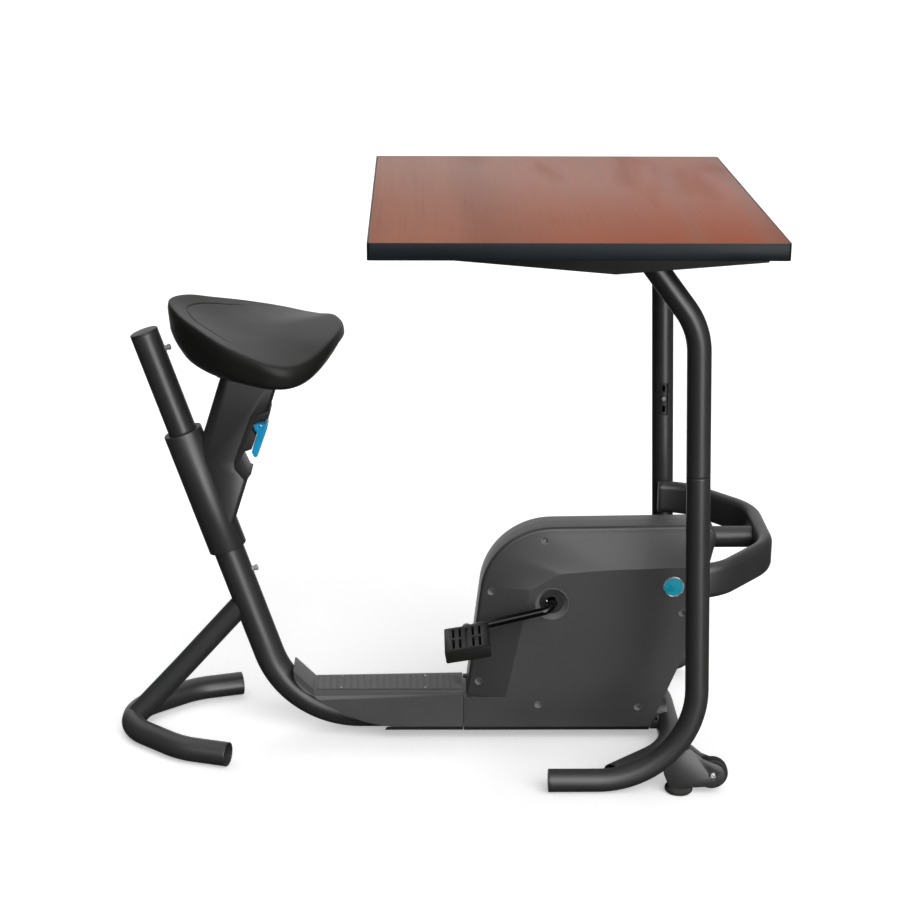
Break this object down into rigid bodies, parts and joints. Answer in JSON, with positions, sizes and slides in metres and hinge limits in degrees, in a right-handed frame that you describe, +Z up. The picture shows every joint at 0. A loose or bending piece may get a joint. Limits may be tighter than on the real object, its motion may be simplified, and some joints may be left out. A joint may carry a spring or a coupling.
{
  "type": "desk exercise bike",
  "caption": "Seated pedal machine under a wooden desk: bent-tube frame, closed pedal drive, saddle that slides up a slanted mast, transport wheels.",
  "frame": {"origin": "on the floor, under the middle of the bounding box", "axes": "+X forward, from the saddle towards the desk; +Y to the rider's left; +Z up"},
  "size_m": [1.2994, 0.883, 1.106],
  "materials": {
    "powder_black": "satin powder coat",
    "shroud_grey": "fine-grained moulding",
    "cover_grey": "fine-grained moulding",
    "tread": "matt, ridged",
    "saddle": "smooth black skin over foam",
    "cherry": "cherry laminate, satin",
    "edge_black": "edge band, satin",
    "lever_blue": "bright blue",
    "plastic_black": "matt",
    "rubber_black": "matt",
    "crank_black": "gloss",
    "steel": "plain",
    "cast_grey": "turned",
    "pin_grey": "light grey"
  },
  "bodies": {
    "frame": {"base_cover": "cover_grey", "bottom_bracket": "powder_black", "brace_tube": "powder_black", "crank_bearing_left": "steel", "crank_bearing_right": "steel", "desk_arm_left": "powder_black", "desk_arm_right": "powder_black", "desk_edge_band": "edge_black", "desk_top": "cherry", "drive_belt": "rubber_black", "flywheel_fork": "powder_black", "front_bar": "powder_black", "front_post": "powder_black", "front_stabilizer": "powder_black", "hub_cup_left": "cover_grey", "hub_cup_right": "cover_grey", "leg_coupling_left": "powder_black", "leg_coupling_right": "powder_black", "levelling_foot_left": "rubber_black", "levelling_foot_right": "rubber_black", "lower_leg_left": "powder_black", "lower_leg_right": "powder_black", "magnet_brake": "steel", "main_tube": "powder_black", "mast_cap": "plastic_black", "mast_rod": "powder_black", "neck_tube": "powder_black", "rear_stabilizer": "powder_black", "shroud_left": "shroud_grey", "shroud_right": "shroud_grey", "stop_pin_lower": "pin_grey", "stop_pin_upper": "pin_grey", "tread_strip": "tread", "upper_leg_left": "powder_black", "upper_leg_right": "powder_black", "wheel_bolt_left": "steel", "wheel_bolt_right": "steel", "wheel_bracket_left": "powder_black", "wheel_bracket_right": "powder_black"},
    "crank": {"crank": "crank_black", "drive_pulley": "plastic_black", "pedal_spindle_left": "steel", "pedal_spindle_right": "steel"},
    "flywheel": {"flywheel": "cast_grey", "flywheel_pulley": "steel", "flywheel_shaft": "steel"},
    "pedal_right": {"pedal_right": "plastic_black"},
    "pedal_left": {"pedal_left": "plastic_black"},
    "wheel_right": {"wheel_right": "plastic_black"},
    "wheel_left": {"wheel_left": "plastic_black"},
    "carriage": {"seat_sleeve": "powder_black", "bush_lower": "plastic_black", "bush_upper": "plastic_black", "seat_column": "powder_black", "lever_housing": "plastic_black", "lever_pin": "steel", "seat_plate": "powder_black", "seat": "saddle"},
    "lever": {"release_lever": "lever_blue"}
  },
  "joints": [
    {"name": "crank_spin", "type": "hinge", "parent": "frame", "child": "crank", "pos_m": [0.221, 0, 0.2967], "axis": [0, 1, 0], "continuous": true},
    {"name": "flywheel_spin", "type": "hinge", "parent": "frame", "child": "flywheel", "pos_m": [0.345, 0, 0.235], "axis": [0, 1, 0], "continuous": true},
    {"name": "pedal_right_spin", "type": "hinge", "parent": "crank", "child": "pedal_right", "pos_m": [0.0512, -0.1525, 0.25436], "axis": [0, 1, 0], "continuous": true},
    {"name": "pedal_left_spin", "type": "hinge", "parent": "crank", "child": "pedal_left", "pos_m": [0.3908, 0.1525, 0.33904], "axis": [0, 1, 0], "continuous": true},
    {"name": "wheel_right_spin", "type": "hinge", "parent": "frame", "child": "wheel_right", "pos_m": [0.519, -0.28, 0.039], "axis": [0, 1, 0], "continuous": true},
    {"name": "wheel_left_spin", "type": "hinge", "parent": "frame", "child": "wheel_left", "pos_m": [0.519, 0.28, 0.039], "axis": [0, 1, 0], "continuous": true},
    {"name": "seat_slide", "type": "slide", "parent": "frame", "child": "carriage", "axis": [-0.3206, 0, 0.9472], "range_m": [-0.048, 0.155]},
    {"name": "lever_pull", "type": "hinge", "parent": "carriage", "child": "lever", "pos_m": [-0.35164, 0, 0.65567], "axis": [0, -1, 0], "range_deg": [0, 20], "stiffness_Nm_per_rad": 0.5, "springref_deg": -8.59}
  ],
  "couplings": [
    {"joint": "flywheel_spin", "follows": "crank_spin", "ratio": 5.2778}
  ]
}
